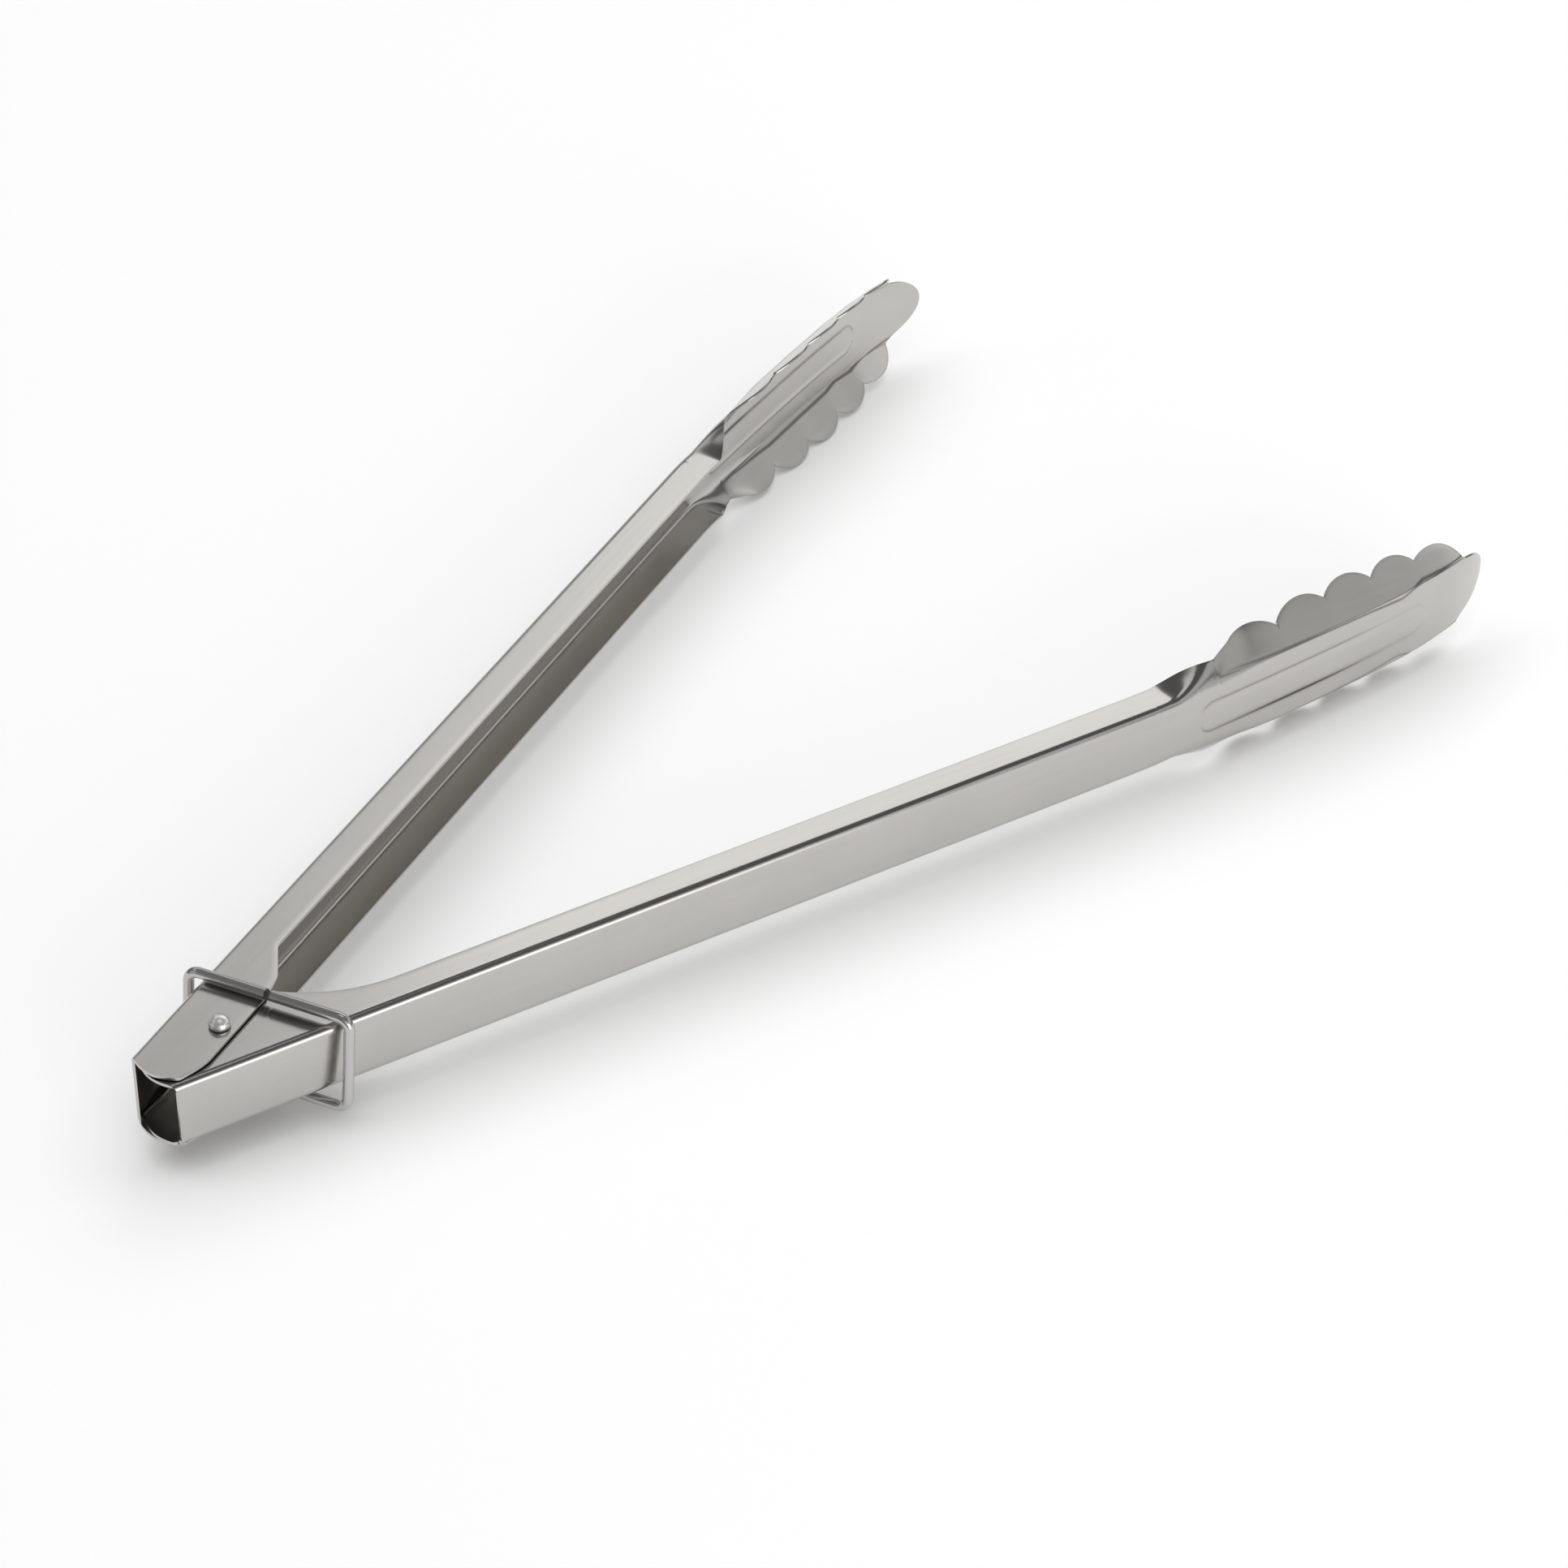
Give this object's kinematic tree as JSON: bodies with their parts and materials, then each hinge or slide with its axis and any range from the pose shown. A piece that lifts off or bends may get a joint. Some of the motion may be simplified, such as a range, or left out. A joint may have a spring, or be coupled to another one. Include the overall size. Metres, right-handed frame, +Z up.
{
  "type": "spring loaded kitchen tongs",
  "caption": "Long sheet-steel kitchen tongs with scalloped heads, joined by a domed pivot rivet, pushed open by a torsion spring and held shut by a sliding wire ring",
  "frame": {"origin": "centre of the bounding box in X and Y, at the underside of the heads, which the tongs lie on", "axes": "+X from the pivot to the tips along the line that halves the opening; +Y across the opening towards the outer arm; +Z up, parallel to the rivet"},
  "size_m": [0.3952, 0.2088, 0.0379],
  "materials": {
    "arm_steel": "satin stainless sheet with faint lengthwise brushing",
    "rivet_steel": "polished domed stainless rivet",
    "spring_wire": "drawn spring wire",
    "ring_wire": "bright drawn stainless wire"
  },
  "bodies": {
    "pivot": {"pivot_rivet": "rivet_steel", "torsion_spring": "spring_wire"},
    "inner": {"inner_arm": "arm_steel"},
    "outer": {"outer_arm": "arm_steel"},
    "ring": {"lock_ring": "ring_wire"}
  },
  "joints": [
    {"name": "inner_arm_close", "type": "hinge", "parent": "pivot", "child": "inner", "pos_m": [-0.17458, -0.00029, 0.01896], "axis": [0, 0, 1], "range_deg": [0, 15.1], "stiffness_Nm_per_rad": 0.6, "springref_deg": -20.05},
    {"name": "outer_arm_close", "type": "hinge", "parent": "pivot", "child": "outer", "pos_m": [-0.17458, -0.00029, 0.01896], "axis": [0, 0, 1], "range_deg": [-15.1, 0]},
    {"name": "ring_slide", "type": "slide", "parent": "pivot", "child": "ring", "axis": [1, 0, 0], "range_m": [-0.006, 0.006]}
  ],
  "couplings": [
    {"joint": "outer_arm_close", "follows": "inner_arm_close", "ratio": -1}
  ]
}
